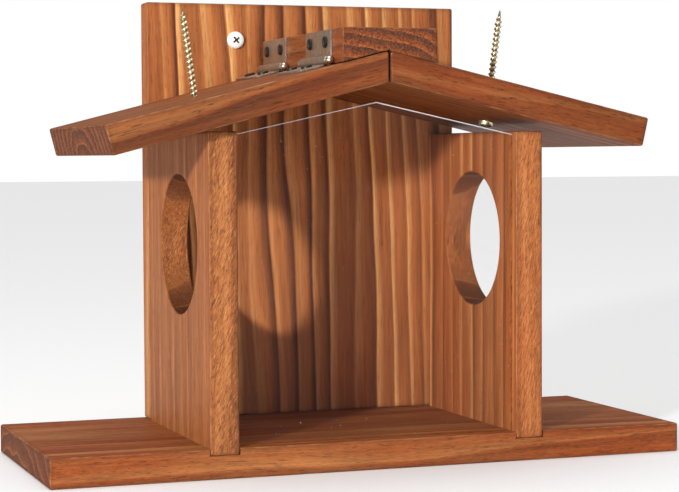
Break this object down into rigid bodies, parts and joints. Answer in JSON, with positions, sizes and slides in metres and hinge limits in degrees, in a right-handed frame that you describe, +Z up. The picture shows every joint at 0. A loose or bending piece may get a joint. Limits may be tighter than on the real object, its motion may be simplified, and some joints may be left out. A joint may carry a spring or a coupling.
{
  "type": "wall-mounted wooden feeder",
  "caption": "Wooden wall-mounted feeder box with round side entries, clear front window, hinged roof panel and upright corn-cob screws on a wide tray.",
  "frame": {"origin": "centre of the tray's underside", "axes": "+X to the feeder's right as seen from its front, +Y towards the wall it hangs on, +Z up"},
  "size_m": [0.336, 0.1696, 0.24],
  "materials": {
    "stained_softwood": "reddish-brown stain, satin",
    "clear_acrylic": "clear, polished",
    "antique_bronze": "antique bronze plating, satin",
    "dark_bronze": "dark bronze",
    "yellow_zinc": "yellow zinc plating, bright",
    "white_zinc": "white, gloss",
    "plain_steel": "zinc plated"
  },
  "bodies": {
    "housing": {"tray_board": "stained_softwood", "back_board": "stained_softwood", "left_wall": "stained_softwood", "right_wall": "stained_softwood", "right_roof_panel": "stained_softwood", "ridge_block": "stained_softwood", "clear_window": "clear_acrylic", "front_hinge_block_leaf": "antique_bronze", "front_hinge_pin": "antique_bronze", "rear_hinge_block_leaf": "antique_bronze", "rear_hinge_pin": "antique_bronze", "block_leaf_screws": "dark_bronze", "right_corn_screw": "yellow_zinc", "left_mounting_screw": "white_zinc", "right_mounting_screw": "white_zinc", "tray_to_wall_screws": "plain_steel", "tray_to_back_screws": "plain_steel", "back_to_wall_screws": "plain_steel", "back_to_roof_screws": "plain_steel", "back_to_block_screws": "plain_steel", "block_to_roof_screws": "plain_steel"},
    "lid": {"left_roof_lid": "stained_softwood", "front_hinge_lid_leaf": "antique_bronze", "rear_hinge_lid_leaf": "antique_bronze", "lid_leaf_screws": "dark_bronze", "left_corn_screw": "yellow_zinc"}
  },
  "joints": [
    {"name": "lid_hinge", "type": "hinge", "parent": "housing", "child": "lid", "pos_m": [-0.0276, 0, 0.20407], "axis": [0, 1, 0], "range_deg": [0, 26]}
  ]
}
